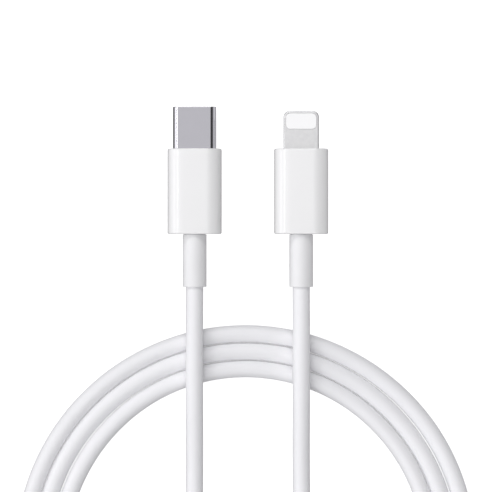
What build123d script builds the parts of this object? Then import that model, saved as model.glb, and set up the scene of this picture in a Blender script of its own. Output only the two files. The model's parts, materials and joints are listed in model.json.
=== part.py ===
from build123d import *
import math
import os

# A one metre charging cable that lies flat: a charger plug and a phone plug side by side,
# both pointing along +Y, with the cord wound into a flat round coil of three turns behind them.
# Millimetres. The origin is on the surface, midway between the two plugs, at the middle of
# their length. +Z is up, and the plugs' axes lie at half a boot's thickness above the surface.

os.makedirs("parts", exist_ok=True)

# ---------------------------------------------------------------- clearances
FIT_GAP = 0.02          # between pieces that are pressed, moulded or soldered together
SEAM_GAP = 0.04         # between the two halves of a shield can
CAN_GAP = 0.05          # between a shield can and the boot around it
SPRING_SIDE_GAP = 0.03  # each side of a contact or a spring in its slot
LATCH_GAP = 0.05        # above and below a latch arm in its slot
CUT_PAST = 0.5          # how far a cut runs past the face that it opens

# ---------------------------------------------------------------- both plugs
PLUG_SPACING = 20.36
BOOT_WIDTH = 10.35
BOOT_THICKNESS = 6.0
BOOT_LENGTH = 16.3
BOOT_WALL = 0.75
BOOT_END_WALL = 1.2
BOOT_EDGE_RADIUS = 0.3

RELIEF_DIAMETER = 4.55
RELIEF_LENGTH = 10.1
RELIEF_TIP_RADIUS = 0.3
RELIEF_FLANGE_WIDTH = 7.4
RELIEF_FLANGE_LENGTH = 0.8
RELIEF_GRIP = 5.0       # how far the cord's jacket reaches into the strain relief

CABLE_DIAMETER = 3.3
SCREEN_DIAMETER = 2.5   # the braided screen under the jacket
SCREEN_WALL = 0.27
WIRE_DIAMETER = 0.74

CAN_WALL = 0.15
CRIMP_WALL = 0.28
CRIMP_LENGTH = 1.4

BOARD_WIDTH = 6.2
BOARD_REAR_MARGIN = 4.0  # from the shield can's rear face to the board's rear edge
WIRE_PAD_SPACING = 3.0   # between the middles of the left and right wires on a board
WIRE_PAD_LENGTH = 1.2
MOULD_LENGTH = 3.2

# ---------------------------------------------------------------- charger plug
SHELL_WIDTH = 8.25
SHELL_THICKNESS = 2.4
SHELL_WALL = 0.16
SHELL_EXPOSED = 8.0
SHELL_SEAT = 4.0
SHELL_LIP_RADIUS = 0.1

HOUSING_RECESS = 0.3    # from the shell's front edge to the contact housing
HOUSING_TAIL = 0.2      # how far the housing stands out behind the shell
TONGUE_SLOT_WIDTH = 6.9
TONGUE_SLOT_HEIGHT = 0.82
TONGUE_SLOT_DEPTH = 7.3

CONTACT_COUNT = 12
CONTACT_PITCH = 0.5
CONTACT_WIDTH = 0.25
CONTACT_THICKNESS = 0.15
CONTACT_LIFT = 0.23     # room above a contact beam, for its travel
CONTACT_REACH = 0.075   # how far a contact point stands into the tongue slot
CONTACT_POINT_SETBACK = 3.4
CONTACT_TIP_SETBACK = 2.7
CONTACT_BEND_LENGTH = 1.2  # over which a beam comes down to its point
CONTACT_TAIL = 1.7      # soldered length behind the housing

LATCH_WIDTH = 0.3
LATCH_THICKNESS = 0.3
LATCH_OFFSET = 3.55     # from the plug's axis to the middle of a latch arm
LATCH_HOOK_REACH = 0.6  # from the middle of the arm to the tip of its hook
LATCH_HOOK_FLAT = 0.3
LATCH_HOOK_RAMP = 0.9
LATCH_TIP_SETBACK = 2.0
LATCH_TAIL = 2.0
LATCH_FOOT_LENGTH = 0.8

GROUND_SPRING_WIDTH = 5.8
GROUND_SPRING_LENGTH = 1.7
GROUND_SPRING_SETBACK = 0.6
GROUND_SPRING_THICKNESS = 0.1
GROUND_SPRING_HEADROOM = 0.11
GROUND_FINGER_COUNT = 3
GROUND_FINGER_WIDTH = 0.6
GROUND_FINGER_PITCH = 1.9
GROUND_FINGER_MARGIN = 0.15

CHARGER_BOARD_GAP = 0.25  # from the housing's rear face to the board's front edge
CHARGER_BOARD_THICKNESS = 0.8

# ---------------------------------------------------------------- phone plug
TAB_WIDTH = 6.7
TAB_THICKNESS = 1.5
TAB_EXPOSED = 7.15
TAB_SEAT = 4.0
TAB_CORNER_RADIUS = 1.05
TAB_EDGE_RADIUS = 0.2
TAB_RIM = 0.38          # of steel each side of the window
SHOULDER_WIDTH = 8.0
SHOULDER_LENGTH = 1.0
SHOULDER_SETBACK = 1.6  # behind the boot's front face
DIMPLE_LENGTH = 1.3
DIMPLE_HEIGHT = 0.7
DIMPLE_DEPTH = 0.3
DIMPLE_SETBACK = 3.9

INSERT_LENGTH = 3.1
INSERT_CORNER_RADIUS = 0.95
INSERT_SETBACK = 0.35
INSERT_EDGE_RADIUS = 0.1

PIN_COUNT = 8
PIN_SHARE = 0.636       # a pin's width as a share of the pitch
PIN_END_MARGIN = 0.08   # from the outer pins to the sides of the board's tongue
PIN_LENGTH = 2.0

PHONE_BOARD_GAP = 0.15  # from the tab's rear face to the wide part of the board
PHONE_BOARD_THICKNESS = 0.6
PHONE_TONGUE_MARGIN = 0.37  # of the insert each side of the board's tongue
CHIP_WIDTH = 3.4
CHIP_LENGTH = 2.6
CHIP_THICKNESS = 0.7

# ---------------------------------------------------------------- small board parts
CHIP_CAPACITOR = (0.6, 0.3, 0.3)
CHIP_RESISTOR = (0.5, 1.0, 0.35)

# ---------------------------------------------------------------- the cord's route
COIL_TURNS = 3
COIL_CENTRE = (-0.46, -68.7)
COIL_INNER_RADIUS = 35.8   # of the innermost turn's centreline
COIL_PITCH = 3.36          # from one turn's centreline to the next
ARC_SHARE = 0.45           # an arc's tangent length, as a share of its shorter run

# ---------------------------------------------------------------- worked out from those
AXIS_HEIGHT = BOOT_THICKNESS / 2
BOOT_FRONT = (BOOT_LENGTH + RELIEF_LENGTH - SHELL_EXPOSED) / 2
BOOT_REAR = BOOT_FRONT - BOOT_LENGTH
RELIEF_END = BOOT_REAR - RELIEF_LENGTH
JACKET_END = RELIEF_END + RELIEF_GRIP

CAVITY_WIDTH = BOOT_WIDTH - 2 * BOOT_WALL
CAVITY_THICKNESS = BOOT_THICKNESS - 2 * BOOT_WALL
CAVITY_FRONT = BOOT_FRONT - BOOT_END_WALL
CAVITY_REAR = BOOT_REAR + BOOT_END_WALL
FLANGE_FRONT = CAVITY_REAR + RELIEF_FLANGE_LENGTH

CAN_WIDTH = CAVITY_WIDTH - 2 * CAN_GAP
CAN_THICKNESS = CAVITY_THICKNESS - 2 * CAN_GAP
CAN_FRONT = CAVITY_FRONT - CAN_GAP
CAN_REAR = FLANGE_FRONT + CAN_GAP
CAN_ROOM_WIDTH = CAN_WIDTH - 2 * CAN_WALL
CAN_ROOM_THICKNESS = CAN_THICKNESS - 2 * CAN_WALL

CRIMP_REAR = CAN_REAR + CAN_WALL + FIT_GAP
CRIMP_FRONT = CRIMP_REAR + CRIMP_LENGTH
SCREEN_FRONT = CRIMP_FRONT + FIT_GAP
BOARD_REAR = CAN_REAR + BOARD_REAR_MARGIN
MOULD_REAR = CRIMP_FRONT + 2 * FIT_GAP
MOULD_FRONT = MOULD_REAR + MOULD_LENGTH

SHELL_FRONT = BOOT_FRONT + SHELL_EXPOSED
SHELL_REAR = BOOT_FRONT - SHELL_SEAT
SHELL_ROOM_WIDTH = SHELL_WIDTH - 2 * SHELL_WALL
SHELL_ROOM_THICKNESS = SHELL_THICKNESS - 2 * SHELL_WALL
HOUSING_FRONT = SHELL_FRONT - HOUSING_RECESS
HOUSING_REAR = SHELL_REAR - HOUSING_TAIL
HOUSING_THICKNESS = SHELL_ROOM_THICKNESS - 2 * FIT_GAP
CHARGER_BOARD_FRONT = HOUSING_REAR - CHARGER_BOARD_GAP

CONTACT_TAIL_HEIGHT = CHARGER_BOARD_THICKNESS / 2 + FIT_GAP + CONTACT_THICKNESS / 2
CONTACT_BEAM_HEIGHT = TONGUE_SLOT_HEIGHT / 2 + CONTACT_THICKNESS / 2 + 2 * SPRING_SIDE_GAP
CONTACT_POINT_HEIGHT = TONGUE_SLOT_HEIGHT / 2 - CONTACT_REACH
CONTACT_TIP_HEIGHT = CONTACT_BEAM_HEIGHT - SPRING_SIDE_GAP
CONTACT_POINT = SHELL_FRONT - CONTACT_POINT_SETBACK
CONTACT_TIP = SHELL_FRONT - CONTACT_TIP_SETBACK
CONTACT_REAR = HOUSING_REAR - CONTACT_TAIL
CONTACT_SLOT_TOP = CONTACT_BEAM_HEIGHT + CONTACT_THICKNESS / 2 + CONTACT_LIFT
CONTACT_SLOT_FLOOR = CONTACT_TAIL_HEIGHT - CONTACT_THICKNESS / 2 - FIT_GAP
LATCH_TIP = SHELL_FRONT - LATCH_TIP_SETBACK
LATCH_REAR = HOUSING_REAR - LATCH_TAIL

GROUND_SPRING_FRONT = SHELL_FRONT - GROUND_SPRING_SETBACK
GROUND_SPRING_REAR = GROUND_SPRING_FRONT - GROUND_SPRING_LENGTH
GROUND_SPRING_TOP = SHELL_ROOM_THICKNESS / 2 - GROUND_SPRING_HEADROOM
GROUND_SPRING_FLOOR = GROUND_SPRING_TOP - GROUND_SPRING_THICKNESS

TAB_FRONT = BOOT_FRONT + TAB_EXPOSED
TAB_REAR = BOOT_FRONT - TAB_SEAT
INSERT_WIDTH = TAB_WIDTH - 2 * TAB_RIM
INSERT_FRONT = TAB_FRONT - INSERT_SETBACK
INSERT_MIDDLE = INSERT_FRONT - INSERT_LENGTH / 2
PHONE_BOARD_FRONT = TAB_REAR - PHONE_BOARD_GAP
PHONE_TONGUE_FRONT = INSERT_MIDDLE + PIN_LENGTH / 2
PHONE_TONGUE_WIDTH = INSERT_WIDTH - 2 * PHONE_TONGUE_MARGIN
PIN_PITCH = (PHONE_TONGUE_WIDTH - 2 * PIN_END_MARGIN) / (PIN_COUNT - 1 + PIN_SHARE)
PIN_WIDTH = PIN_SHARE * PIN_PITCH

PLUG_X = PLUG_SPACING / 2
CORD_HEIGHT = CABLE_DIAMETER / 2
CROSSING_HEIGHT = 5.12     # of the cord's middle where it lies over its own coil
COIL_OUTER_RADIUS = COIL_INNER_RADIUS + (COIL_TURNS - 1) * COIL_PITCH


# ---------------------------------------------------------------- small helpers
def across(y):
    """The plane square to a plug's axis at y: its x is +X, its y is +Z, and it faces -Y."""
    return Plane(origin=(0, y, 0), x_dir=(1, 0, 0), z_dir=(0, -1, 0))


def along(x):
    """The plane along a plug's axis at x: its x is +Y, its y is +Z, and it faces +X."""
    return Plane(origin=(x, 0, 0), x_dir=(0, 1, 0), z_dir=(1, 0, 0))


def bar(section, front, rear):
    """A cross-section of the plug carried from front back to rear."""
    return extrude(across(front) * section, amount=front - rear)


def block(x, y, z):
    """A box between two values on each axis."""
    size = [span[1] - span[0] for span in (x, y, z)]
    middle = [(span[0] + span[1]) / 2 for span in (x, y, z)]
    return Pos(*middle) * Box(*size)


def strip(points, thickness, width, x):
    """A bent strip of sheet metal: its middle line in Y and Z, and the middle of its width."""
    profile = trace(Polyline(*points), line_width=thickness)
    return extrude(along(x) * profile, amount=width / 2, both=True)


def mirrored(shape):
    """The same piece on the lower side of the plug's axis."""
    return mirror(shape, about=Plane.XY)


def row(count, pitch):
    """The places of count things along X, a pitch apart and centred on the axis."""
    return [(i - (count - 1) / 2) * pitch for i in range(count)]


# ---------------------------------------------------------------- pieces that both plugs have
def boot(mouth):
    """The moulded boot: a hollow body with a mouth in front and a hole for the strain relief."""
    body = bar(SlotOverall(BOOT_WIDTH, BOOT_THICKNESS), BOOT_FRONT, BOOT_REAR)
    by_place = body.faces().sort_by(Axis.Y)
    body = fillet(by_place[0].edges() + by_place[-1].edges(), BOOT_EDGE_RADIUS)
    body -= bar(SlotOverall(CAVITY_WIDTH, CAVITY_THICKNESS), CAVITY_FRONT, CAVITY_REAR)
    body -= bar(Circle(RELIEF_DIAMETER / 2 + FIT_GAP), CAVITY_REAR + 2 * FIT_GAP, BOOT_REAR - CUT_PAST)
    return body - bar(mouth, BOOT_FRONT + CUT_PAST, CAVITY_FRONT - FIT_GAP)


def strain_relief():
    """The soft sleeve around the cord, held in the boot by a flange wider than its hole."""
    flange_rear = CAVITY_REAR + FIT_GAP
    sleeve = bar(Circle(RELIEF_DIAMETER / 2), flange_rear, RELIEF_END)
    sleeve = fillet(sleeve.faces().sort_by(Axis.Y)[0].edges(), RELIEF_TIP_RADIUS)
    flange_height = CAVITY_THICKNESS - 2 * FIT_GAP
    sleeve += bar(SlotOverall(RELIEF_FLANGE_WIDTH, flange_height), FLANGE_FRONT, flange_rear)
    sleeve -= bar(Circle(CABLE_DIAMETER / 2 + FIT_GAP), JACKET_END, RELIEF_END - CUT_PAST)
    return sleeve - bar(Circle(SCREEN_DIAMETER / 2 + FIT_GAP), FLANGE_FRONT + CUT_PAST, JACKET_END - FIT_GAP)


def shield_can(mouth):
    """The stamped shield around the board, as its top and bottom halves."""
    can = bar(SlotOverall(CAN_WIDTH, CAN_THICKNESS), CAN_FRONT, CAN_REAR)
    can -= bar(SlotOverall(CAN_ROOM_WIDTH, CAN_ROOM_THICKNESS), CAN_FRONT - CAN_WALL, CAN_REAR + CAN_WALL)
    can -= bar(mouth, CAN_FRONT + CUT_PAST, CAN_FRONT - CUT_PAST)
    can -= bar(Circle(SCREEN_DIAMETER / 2 + FIT_GAP), CAN_REAR + CUT_PAST, CAN_REAR - CUT_PAST)
    sides = (-CAN_WIDTH, CAN_WIDTH)
    length = (CAN_REAR - CUT_PAST, CAN_FRONT + CUT_PAST)
    top = can & block(sides, length, (SEAM_GAP / 2, CAN_THICKNESS))
    bottom = can & block(sides, length, (-CAN_THICKNESS, -SEAM_GAP / 2))
    return top, bottom


def screen_braid():
    """The braided screen of the cord, from the jacket's end to the crimp."""
    outside = bar(Circle(SCREEN_DIAMETER / 2), SCREEN_FRONT, JACKET_END)
    inside = Circle(SCREEN_DIAMETER / 2 - SCREEN_WALL)
    return outside - bar(inside, SCREEN_FRONT + CUT_PAST, JACKET_END - CUT_PAST)


def crimp_sleeve():
    """The metal sleeve crimped round the screen, just inside the shield can."""
    inner_radius = SCREEN_DIAMETER / 2 + FIT_GAP
    outside = bar(Circle(inner_radius + CRIMP_WALL), CRIMP_FRONT, CRIMP_REAR)
    return outside - bar(Circle(inner_radius), CRIMP_FRONT + CUT_PAST, CRIMP_REAR - CUT_PAST)


def wire(side, level, board_thickness, swell=0.0):
    """One of four insulated wires, from the jacket's end to its pad on the board.

    side is -1 or 1 for left or right, and level is 1 above the board and -1 below it.
    """
    bundle = (SCREEN_DIAMETER / 2 - SCREEN_WALL - WIRE_DIAMETER / 2 - FIT_GAP) / math.sqrt(2)
    lift = board_thickness / 2 + WIRE_DIAMETER / 2 + FIT_GAP
    pad = WIRE_PAD_SPACING / 2
    fan_start = SCREEN_FRONT + WIRE_DIAMETER / 4
    fan_end = BOARD_REAR - WIRE_DIAMETER / 4
    path = FilletPolyline(
        (side * bundle, JACKET_END, level * bundle),
        (side * bundle, fan_start, level * bundle),
        (side * pad, fan_end, level * lift),
        (side * pad, BOARD_REAR + WIRE_PAD_LENGTH, level * lift),
        radius=WIRE_DIAMETER,
    )
    section = Plane(origin=path @ 0, z_dir=path % 0) * Circle(WIRE_DIAMETER / 2 + swell)
    return sweep(section, path=path)


WIRE_PLACES = {"red": (-1, 1), "white": (1, 1), "black": (-1, -1), "green": (1, -1)}


def inner_mould(board_thickness):
    """The block moulded round the soldered wires and the board's rear edge, inside the can."""
    section = SlotOverall(CAN_ROOM_WIDTH - 2 * FIT_GAP, CAN_ROOM_THICKNESS - 2 * FIT_GAP)
    mould = bar(section, MOULD_FRONT, MOULD_REAR)
    half_width = BOARD_WIDTH / 2 + FIT_GAP
    half_height = board_thickness / 2 + FIT_GAP
    mould -= block(
        (-half_width, half_width),
        (BOARD_REAR - FIT_GAP, MOULD_FRONT + CUT_PAST),
        (-half_height, half_height),
    )
    for side, level in WIRE_PLACES.values():
        mould -= wire(side, level, board_thickness, swell=FIT_GAP)
    return mould


def board_top_parts(places, board_thickness):
    """Small parts on a board's upper face: each place is a size and the middle of its footprint."""
    parts = []
    for (width, length, height), (x, y) in places:
        low = board_thickness / 2 + FIT_GAP
        span_x = (x - width / 2, x + width / 2)
        span_y = (y - length / 2, y + length / 2)
        parts.append(block(span_x, span_y, (low, low + height)))
    return parts


def shared_pieces(mouth, board_thickness):
    """The pieces that both plugs have, by name, around the plug's own axis."""
    top, bottom = shield_can(mouth)
    pieces = {
        "boot": boot(mouth),
        "strain_relief": strain_relief(),
        "shield_top": top,
        "shield_bottom": bottom,
        "screen_braid": screen_braid(),
        "crimp_sleeve": crimp_sleeve(),
        "inner_mould": inner_mould(board_thickness),
    }
    for colour, (side, level) in WIRE_PLACES.items():
        pieces["wire_" + colour] = wire(side, level, board_thickness)
    return pieces


# ---------------------------------------------------------------- charger plug
def charger_shell():
    """The drawn steel tube that the charger's socket takes."""
    shell = bar(SlotOverall(SHELL_WIDTH, SHELL_THICKNESS), SHELL_FRONT, SHELL_REAR)
    shell = fillet(shell.faces().sort_by(Axis.Y)[-1].edges(), SHELL_LIP_RADIUS)
    room = SlotOverall(SHELL_ROOM_WIDTH, SHELL_ROOM_THICKNESS)
    return shell - bar(room, SHELL_FRONT + CUT_PAST, SHELL_REAR - CUT_PAST)


def contact_housing():
    """The black plastic block in the shell: a slot for the socket's tongue, and the springs' slots."""
    width = SHELL_ROOM_WIDTH - 2 * FIT_GAP
    housing = bar(SlotOverall(width, HOUSING_THICKNESS), HOUSING_FRONT, HOUSING_REAR)
    tongue = Rectangle(TONGUE_SLOT_WIDTH, TONGUE_SLOT_HEIGHT)
    housing -= bar(tongue, HOUSING_FRONT + CUT_PAST, HOUSING_FRONT - TONGUE_SLOT_DEPTH)
    for cut in contact_slots() + ground_spring_pockets() + latch_slots():
        housing -= cut
    return housing


def contact_slots():
    """A slot for each contact of both rows, open to the tongue slot and at the rear."""
    half_width = CONTACT_WIDTH / 2 + SPRING_SIDE_GAP
    length = (HOUSING_REAR - CUT_PAST, CONTACT_TIP + 4 * SPRING_SIDE_GAP)
    slots = []
    for x in row(CONTACT_COUNT, CONTACT_PITCH):
        slot = block((x - half_width, x + half_width), length, (CONTACT_SLOT_FLOOR, CONTACT_SLOT_TOP))
        slots += [slot, mirrored(slot)]
    return slots


def latch_slots():
    """A slot each side for a latch arm, open outwards to the shell."""
    half_height = LATCH_THICKNESS / 2 + LATCH_GAP
    inside = LATCH_OFFSET - LATCH_WIDTH / 2 - 2 * LATCH_GAP
    length = (HOUSING_REAR - CUT_PAST, LATCH_TIP + 3 * LATCH_GAP)
    slot = block((inside, SHELL_WIDTH), length, (-half_height, half_height))
    return [slot, mirror(slot, about=Plane.YZ)]


def ground_spring_pockets():
    """A shallow pocket each side for a ground spring, with a window for each of its fingers."""
    half_width = GROUND_SPRING_WIDTH / 2 + SPRING_SIDE_GAP
    ends = (GROUND_SPRING_REAR - SPRING_SIDE_GAP, GROUND_SPRING_FRONT + SPRING_SIDE_GAP)
    floor = GROUND_SPRING_FLOOR - FIT_GAP
    pockets = [block((-half_width, half_width), ends, (floor, SHELL_THICKNESS))]
    half_window = GROUND_FINGER_WIDTH / 2 + 3 * SPRING_SIDE_GAP
    window_ends = (GROUND_SPRING_REAR + GROUND_FINGER_MARGIN, GROUND_SPRING_FRONT - GROUND_FINGER_MARGIN)
    for x in row(GROUND_FINGER_COUNT, GROUND_FINGER_PITCH):
        pockets.append(block((x - half_window, x + half_window), window_ends, (0, SHELL_THICKNESS)))
    return pockets + [mirrored(pocket) for pocket in pockets]


def contact_row():
    """The upper row of spring contacts: tails on the board, beams in the housing, bent points."""
    beam_start = HOUSING_REAR + CONTACT_THICKNESS
    points = [
        (CONTACT_REAR, CONTACT_TAIL_HEIGHT),
        (HOUSING_REAR - CONTACT_THICKNESS, CONTACT_TAIL_HEIGHT),
        (beam_start, CONTACT_BEAM_HEIGHT),
        (CONTACT_POINT - CONTACT_BEND_LENGTH, CONTACT_BEAM_HEIGHT),
        (CONTACT_POINT, CONTACT_POINT_HEIGHT),
        (CONTACT_TIP, CONTACT_TIP_HEIGHT),
    ]
    return [strip(points, CONTACT_THICKNESS, CONTACT_WIDTH, x) for x in row(CONTACT_COUNT, CONTACT_PITCH)]


def latch():
    """The right latch: a flat spring arm with a hook that bites the tongue's side, and a solder foot."""
    inner = LATCH_OFFSET - LATCH_WIDTH / 2
    outer = LATCH_OFFSET + LATCH_WIDTH / 2
    hook = LATCH_OFFSET - LATCH_HOOK_REACH
    foot = BOARD_WIDTH / 2 + FIT_GAP
    foot_front = LATCH_REAR + LATCH_FOOT_LENGTH
    hook_front = LATCH_TIP - LATCH_HOOK_REACH
    hook_rear = hook_front - LATCH_HOOK_FLAT
    outline = Polyline(
        (outer, LATCH_REAR),
        (outer, LATCH_TIP),
        (inner, LATCH_TIP),
        (hook, hook_front),
        (hook, hook_rear),
        (inner, hook_rear - LATCH_HOOK_RAMP),
        (inner, foot_front),
        (foot, foot_front),
        (foot, LATCH_REAR),
        close=True,
    )
    return extrude(make_face(outline), amount=LATCH_THICKNESS / 2, both=True)


def ground_spring():
    """The upper ground spring: a thin plate with fingers that dip through the housing's windows."""
    half_width = GROUND_SPRING_WIDTH / 2
    level = (GROUND_SPRING_FLOOR, GROUND_SPRING_TOP)
    spring = block((-half_width, half_width), (GROUND_SPRING_REAR, GROUND_SPRING_FRONT), level)
    opening = (GROUND_SPRING_REAR + GROUND_FINGER_MARGIN, GROUND_SPRING_FRONT - GROUND_FINGER_MARGIN)
    half_opening = GROUND_FINGER_WIDTH / 2 + SPRING_SIDE_GAP
    middle = (GROUND_SPRING_FLOOR + GROUND_SPRING_TOP) / 2
    low = TONGUE_SLOT_HEIGHT / 2 - GROUND_SPRING_THICKNESS / 2
    points = [
        (GROUND_SPRING_REAR + GROUND_FINGER_MARGIN / 2, middle),
        (opening[0] + GROUND_FINGER_MARGIN, middle),
        ((opening[0] + opening[1]) / 2, low),
        (opening[1] - 2 * GROUND_FINGER_MARGIN, (low + middle) / 2),
    ]
    for x in row(GROUND_FINGER_COUNT, GROUND_FINGER_PITCH):
        spring -= block((x - half_opening, x + half_opening), opening, level)
        spring += strip(points, GROUND_SPRING_THICKNESS, GROUND_FINGER_WIDTH, x)
    return spring


def charger_board():
    """The board behind the charger plug's contacts."""
    half_width = BOARD_WIDTH / 2
    half_height = CHARGER_BOARD_THICKNESS / 2
    return block((-half_width, half_width), (BOARD_REAR, CHARGER_BOARD_FRONT), (-half_height, half_height))


def charger_board_parts():
    """The small parts on the charger board, between the wires' pads and the contacts' tails."""
    y = (BOARD_REAR + WIRE_PAD_LENGTH + CONTACT_REAR) / 2
    places = [(CHIP_RESISTOR, (-BOARD_WIDTH / 4, y))]
    places += [(CHIP_CAPACITOR, (0, y)), (CHIP_CAPACITOR, (BOARD_WIDTH / 4, y))]
    return board_top_parts(places, CHARGER_BOARD_THICKNESS)


def charger_plug():
    """Every piece of the charger plug, by name, around its own axis."""
    mouth = SlotOverall(SHELL_WIDTH + 2 * FIT_GAP, SHELL_THICKNESS + 2 * FIT_GAP)
    pieces = shared_pieces(mouth, CHARGER_BOARD_THICKNESS)
    upper_contacts = contact_row()
    right_latch = latch()
    upper_spring = ground_spring()
    pieces.update(
        {
            "shell": charger_shell(),
            "contact_housing": contact_housing(),
            "upper_contacts": upper_contacts,
            "lower_contacts": [mirrored(contact) for contact in upper_contacts],
            "latch_right": right_latch,
            "latch_left": mirror(right_latch, about=Plane.YZ),
            "ground_spring_top": upper_spring,
            "ground_spring_bottom": mirrored(upper_spring),
            "circuit_board": charger_board(),
            "board_parts": charger_board_parts(),
        }
    )
    return pieces


# ---------------------------------------------------------------- phone plug
def insert_outline(gap=0.0):
    """The insert's rounded outline seen from above, less a gap all round."""
    size = (INSERT_WIDTH - 2 * gap, INSERT_LENGTH - 2 * gap)
    return Pos(0, INSERT_MIDDLE) * RectangleRounded(*size, INSERT_CORNER_RADIUS - gap)


def tab_frame():
    """The one-piece steel tab with its window, shoulder, side dimples and board channel."""
    half_width = TAB_WIDTH / 2
    half_height = TAB_THICKNESS / 2
    tab = block((-half_width, half_width), (TAB_REAR, TAB_FRONT), (-half_height, half_height))
    corners = tab.edges().filter_by(Axis.Z).sort_by(Axis.Y)[-2:]
    tab = fillet(corners, TAB_CORNER_RADIUS)
    rims = tab.faces().filter_by(Axis.Z).edges().filter_by(lambda edge: edge.center().Y > TAB_REAR + FIT_GAP)
    tab = fillet(rims, TAB_EDGE_RADIUS)
    shoulder_front = BOOT_FRONT - SHOULDER_SETBACK
    shoulder = Rectangle(SHOULDER_WIDTH, TAB_THICKNESS)
    tab += bar(shoulder, shoulder_front, shoulder_front - SHOULDER_LENGTH)
    tab -= extrude(insert_outline(), amount=TAB_THICKNESS, both=True)
    channel = Rectangle(PHONE_TONGUE_WIDTH + 2 * FIT_GAP, PHONE_BOARD_THICKNESS + 2 * FIT_GAP)
    tab -= bar(channel, INSERT_MIDDLE, TAB_REAR - CUT_PAST)
    for side in (-1, 1):
        spot = Pos(side * half_width, TAB_FRONT - DIMPLE_SETBACK, 0)
        tab -= spot * Box(2 * DIMPLE_DEPTH, DIMPLE_LENGTH, DIMPLE_HEIGHT)
    return tab


def tab_insert():
    """The white plastic insert that fills the tab's window round the board's tongue and the pins."""
    insert = extrude(insert_outline(FIT_GAP), amount=TAB_THICKNESS / 2, both=True)
    insert = fillet(insert.faces().filter_by(Axis.Z).edges(), INSERT_EDGE_RADIUS)
    tongue = Rectangle(PHONE_TONGUE_WIDTH + 2 * FIT_GAP, PHONE_BOARD_THICKNESS + 2 * FIT_GAP)
    insert -= bar(tongue, PHONE_TONGUE_FRONT + FIT_GAP, INSERT_MIDDLE - INSERT_LENGTH)
    for x in row(PIN_COUNT, PIN_PITCH):
        half_width = PIN_WIDTH / 2 + FIT_GAP
        half_length = PIN_LENGTH / 2 + FIT_GAP
        insert -= block(
            (x - half_width, x + half_width),
            (INSERT_MIDDLE - half_length, INSERT_MIDDLE + half_length),
            (-TAB_THICKNESS, 0),
        )
    return insert


def tab_contacts():
    """The gold pins in the tab's underside, which stand on the board's tongue."""
    half_length = PIN_LENGTH / 2
    level = (-TAB_THICKNESS / 2 + FIT_GAP, -PHONE_BOARD_THICKNESS / 2 - FIT_GAP)
    length = (INSERT_MIDDLE - half_length, INSERT_MIDDLE + half_length)
    half_width = PIN_WIDTH / 2
    return [block((x - half_width, x + half_width), length, level) for x in row(PIN_COUNT, PIN_PITCH)]


def phone_board():
    """The phone plug's board: a wide rear half in the can and a tongue that runs into the tab."""
    half_height = PHONE_BOARD_THICKNESS / 2
    level = (-half_height, half_height)
    half_width = BOARD_WIDTH / 2
    rear = block((-half_width, half_width), (BOARD_REAR, PHONE_BOARD_FRONT), level)
    half_tongue = PHONE_TONGUE_WIDTH / 2
    return rear + block((-half_tongue, half_tongue), (BOARD_REAR, PHONE_TONGUE_FRONT), level)


def chip_middle():
    """Where the phone plug's chip sits along the board: behind the tab, clear of the wires."""
    return (PHONE_BOARD_FRONT + MOULD_FRONT) / 2


def board_chip():
    """The phone plug's identification chip."""
    size = (CHIP_WIDTH, CHIP_LENGTH, CHIP_THICKNESS)
    return board_top_parts([(size, (0, chip_middle()))], PHONE_BOARD_THICKNESS)


def phone_board_parts():
    """The small parts each side of the chip."""
    x = (CHIP_WIDTH / 2 + BOARD_WIDTH / 2) / 2
    step = CHIP_LENGTH / 2 - CHIP_CAPACITOR[1]
    places = [(CHIP_CAPACITOR, (side * x, chip_middle() + k * step)) for side in (-1, 1) for k in (-1, 0, 1)]
    return board_top_parts(places, PHONE_BOARD_THICKNESS)


def phone_plug():
    """Every piece of the phone plug, by name, around its own axis."""
    size = (TAB_WIDTH + 2 * FIT_GAP, TAB_THICKNESS + 2 * FIT_GAP)
    pieces = shared_pieces(RectangleRounded(*size, TAB_EDGE_RADIUS), PHONE_BOARD_THICKNESS)
    pieces.update(
        {
            "tab_frame": tab_frame(),
            "tab_insert": tab_insert(),
            "tab_contacts": tab_contacts(),
            "circuit_board": phone_board(),
            "board_chip": board_chip(),
            "board_parts": phone_board_parts(),
        }
    )
    return pieces


# ---------------------------------------------------------------- cord
# From inside the charger plug's strain relief, over the coil's near side, across the coil's
# middle and round into its innermost turn.
CHARGER_LEAD = [
    (-PLUG_X, JACKET_END, AXIS_HEIGHT),
    (-PLUG_X, -18.9, AXIS_HEIGHT),
    (-PLUG_X, -25.3, CROSSING_HEIGHT),
    (-PLUG_X, -36.5, CROSSING_HEIGHT),
    (-PLUG_X, -54.0, CORD_HEIGHT),
    (-10.5, -74.5, CORD_HEIGHT),
    (-10.2, -86.0, CORD_HEIGHT),
    (-5.8, -94.5, CORD_HEIGHT),
    (2.0, -100.1, CORD_HEIGHT),
    (11.4, -101.4, CORD_HEIGHT),
    (20.4, -98.2, CORD_HEIGHT),
    (27.1, -92.0, CORD_HEIGHT),
]

# From the outermost turn, up over the other turns and the charger lead, down to the surface in
# the coil's middle, over its near side and into the phone plug's strain relief.
PHONE_LEAD = [
    (-41.6, -81.0, CORD_HEIGHT),
    (-37.2, -91.2, CORD_HEIGHT),
    (-30.2, -100.4, 2.9),
    (-19.4, -107.4, 5.0),
    (-7.6, -108.6, 5.3),
    (2.9, -103.6, 5.3),
    (9.4, -93.2, 4.6),
    (10.9, -76.0, CORD_HEIGHT),
    (PLUG_X, -56.0, CORD_HEIGHT),
    (PLUG_X, -36.8, CROSSING_HEIGHT),
    (PLUG_X, -25.5, CROSSING_HEIGHT),
    (PLUG_X, -18.9, AXIS_HEIGHT),
    (PLUG_X, JACKET_END, AXIS_HEIGHT),
]


def arc_radii(points):
    """For each inner point, the largest arc that its two runs leave room for."""
    places = [Vector(*point) for point in points]
    radii = []
    for before, here, after in zip(places, places[1:], places[2:]):
        turn = math.radians((here - before).get_angle(after - here))
        shorter = min((here - before).length, (after - here).length)
        radii.append(ARC_SHARE * shorter / math.tan(turn / 2))
    return radii


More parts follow.
